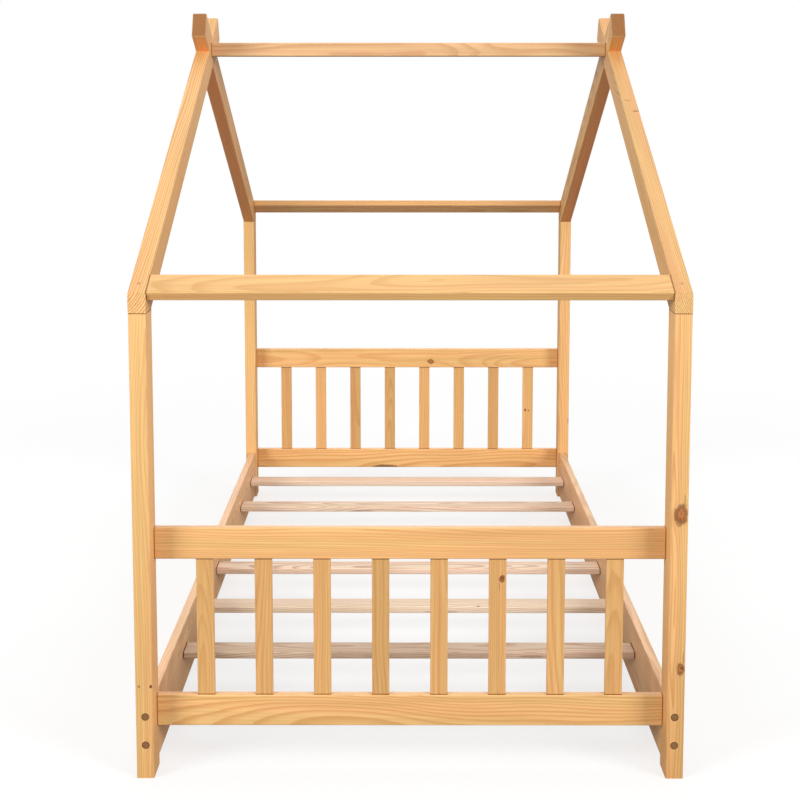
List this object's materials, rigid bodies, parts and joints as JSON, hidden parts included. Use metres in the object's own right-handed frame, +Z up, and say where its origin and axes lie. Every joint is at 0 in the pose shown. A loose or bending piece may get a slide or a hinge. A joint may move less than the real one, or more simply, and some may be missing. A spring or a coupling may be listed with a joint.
{
  "type": "house frame bed",
  "caption": "Low child's bed in pine with a gable roof frame on corner posts, barred footboard and headboard, side rails and slats.",
  "frame": {"origin": "middle of the bed at floor level, under the bottom centre of its bounding box", "axes": "+X across the bed to the right seen from the foot, +Y along the bed to the head end, +Z up"},
  "size_m": [1.062, 2.046, 1.5204],
  "materials": {
    "frame_pine": "clear satin lacquer on pine, knots showing",
    "board_pine": "clear satin lacquer on pine, knots showing",
    "baluster_pine": "clear satin lacquer on pine",
    "slat_pine": "planed, unfinished pine, paler than the frame",
    "plug_wood": "darker hardwood plugs, flush",
    "small_plug_wood": "small wood plugs trimmed to the slope",
    "dowel_beech": "plain dowels, hidden in the joints",
    "zinc_steel": "bright zinc plated"
  },
  "bodies": {
    "root": {"foot_left_post": "frame_pine", "foot_right_post": "frame_pine", "head_left_post": "frame_pine", "head_right_post": "frame_pine", "foot_left_rafter": "frame_pine", "foot_right_rafter": "frame_pine", "head_left_rafter": "frame_pine", "head_right_rafter": "frame_pine", "ridge_beam": "frame_pine", "foot_eave_beam": "board_pine", "head_eave_beam": "board_pine", "footboard_bottom_rail": "board_pine", "footboard_top_rail": "board_pine", "headboard_bottom_rail": "board_pine", "headboard_top_rail": "board_pine", "left_side_rail": "board_pine", "right_side_rail": "board_pine", "footboard_baluster_1": "baluster_pine", "footboard_baluster_2": "baluster_pine", "footboard_baluster_3": "baluster_pine", "footboard_baluster_4": "baluster_pine", "footboard_baluster_5": "baluster_pine", "footboard_baluster_6": "baluster_pine", "footboard_baluster_7": "baluster_pine", "footboard_baluster_8": "baluster_pine", "headboard_baluster_1": "baluster_pine", "headboard_baluster_2": "baluster_pine", "headboard_baluster_3": "baluster_pine", "headboard_baluster_4": "baluster_pine", "headboard_baluster_5": "baluster_pine", "headboard_baluster_6": "baluster_pine", "headboard_baluster_7": "baluster_pine", "headboard_baluster_8": "baluster_pine", "slat_1": "slat_pine", "slat_2": "slat_pine", "slat_3": "slat_pine", "slat_4": "slat_pine", "slat_5": "slat_pine", "slat_6": "slat_pine", "slat_7": "slat_pine", "bed_bolts": "zinc_steel", "cross_nuts": "zinc_steel", "eave_screws": "zinc_steel", "ridge_screws": "zinc_steel", "rafter_foot_screws": "zinc_steel", "rafter_foot_dowels": "dowel_beech", "panel_rail_dowels": "dowel_beech", "bolt_plugs": "plug_wood", "rafter_foot_plugs": "small_plug_wood"}
  },
  "joints": []
}
